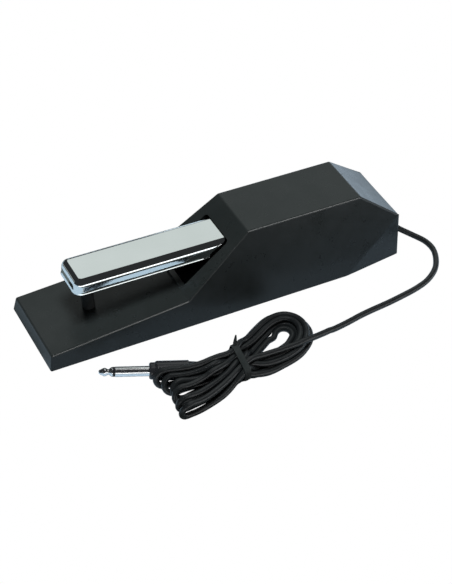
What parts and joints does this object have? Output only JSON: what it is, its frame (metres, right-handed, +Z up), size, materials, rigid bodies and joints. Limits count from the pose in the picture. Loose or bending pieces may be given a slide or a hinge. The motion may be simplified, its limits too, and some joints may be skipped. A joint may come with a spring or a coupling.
{
  "type": "sustain pedal",
  "caption": "Piano-style foot pedal switch: sprung chrome pedal in a low black case, with a tied lead and quarter-inch jack plug.",
  "frame": {"origin": "bottom centre of the pedal unit, without its free cord, on the surface that the rubber feet stand on", "axes": "+Y from the toe of the pedal to the rear wall where the cord leaves, +X to the right as the player sees it, +Z up"},
  "size_m": [0.136, 0.2838, 0.0588],
  "materials": {
    "case_plastic": "satin black moulded ABS with a fine spark texture",
    "chrome_plate": "bright chrome on pressed steel",
    "black_rubber": "matt moulded rubber",
    "cord_rubber": "soft black PVC jacket, slight sheen",
    "galvanised_steel": "zinc-plated sheet steel",
    "zinc_steel": "bright zinc",
    "spring_steel": "bare spring steel",
    "nylon": "natural nylon",
    "felt": "grey wool felt",
    "switch_plastic": "black phenolic",
    "red_plastic": "red PVC",
    "white_plastic": "white PVC",
    "brass": "brass blade",
    "nickel_plate": "bright nickel on brass",
    "plug_plastic": "black moulded plug body"
  },
  "bodies": {
    "housing": {"base_plate": "galvanised_steel", "base_screw_1": "zinc_steel", "base_screw_2": "zinc_steel", "base_screw_3": "zinc_steel", "base_screw_4": "zinc_steel", "base_screw_5": "zinc_steel", "base_screw_6": "zinc_steel", "bracket_screw_front": "zinc_steel", "bracket_screw_rear": "zinc_steel", "bump_stop": "black_rubber", "clamp_screw_left": "zinc_steel", "clamp_screw_right": "zinc_steel", "cord_clamp": "galvanised_steel", "cord_hank": "cord_rubber", "cord_lead": "cord_rubber", "cord_tail": "cord_rubber", "cord_tie": "cord_rubber", "hinge_bracket": "galvanised_steel", "hinge_pin": "zinc_steel", "inner_cord_end": "cord_rubber", "lower_spring_seat": "nylon", "plug_barrel": "plug_plastic", "plug_collar": "plug_plastic", "plug_insulator": "plug_plastic", "plug_relief": "cord_rubber", "plug_sleeve": "nickel_plate", "plug_tail": "cord_rubber", "plug_tip": "nickel_plate", "retaining_clip_left": "zinc_steel", "retaining_clip_right": "zinc_steel", "return_spring": "spring_steel", "rubber_foot_front_left": "black_rubber", "rubber_foot_front_right": "black_rubber", "rubber_foot_rear_left": "black_rubber", "rubber_foot_rear_right": "black_rubber", "strain_relief": "cord_rubber", "switch_body": "switch_plastic", "switch_bracket": "galvanised_steel", "switch_bracket_screw_front": "zinc_steel", "switch_bracket_screw_rear": "zinc_steel", "switch_screw_front": "zinc_steel", "switch_screw_rear": "zinc_steel", "switch_terminal_closed": "brass", "switch_terminal_common": "brass", "switch_terminal_open": "brass", "upper_case": "case_plastic", "upstop_felt": "felt", "wire_red": "red_plastic", "wire_white": "white_plastic"},
    "pedal": {"pedal_plate": "chrome_plate", "upper_spring_seat": "nylon", "seat_screw": "zinc_steel", "switch_actuator": "nylon", "actuator_screw": "zinc_steel", "hinge_bush_left": "nylon", "hinge_bush_right": "nylon"},
    "lever": {"switch_lever": "spring_steel"},
    "plunger": {"switch_plunger": "red_plastic"}
  },
  "joints": [
    {"name": "pedal_hinge", "type": "hinge", "parent": "housing", "child": "pedal", "pos_m": [0, 0.0665, 0.0375], "axis": [1, 0, 0], "range_deg": [0, 6], "stiffness_Nm_per_rad": 4.9, "springref_deg": -14.9, "deforming": ["return_spring"]},
    {"name": "lever_hinge", "type": "hinge", "parent": "housing", "child": "lever", "pos_m": [0, 0.103, 0.0376], "axis": [1, 0, 0], "range_deg": [-5.85, 0]},
    {"name": "plunger_slide", "type": "slide", "parent": "housing", "child": "plunger", "axis": [0, 0, 1], "range_m": [0, 0.00065]}
  ],
  "couplings": [
    {"joint": "lever_hinge", "follows": "pedal_hinge", "ratio": -0.97},
    {"joint": "plunger_slide", "follows": "pedal_hinge", "m_per_rad": 0.006}
  ]
}
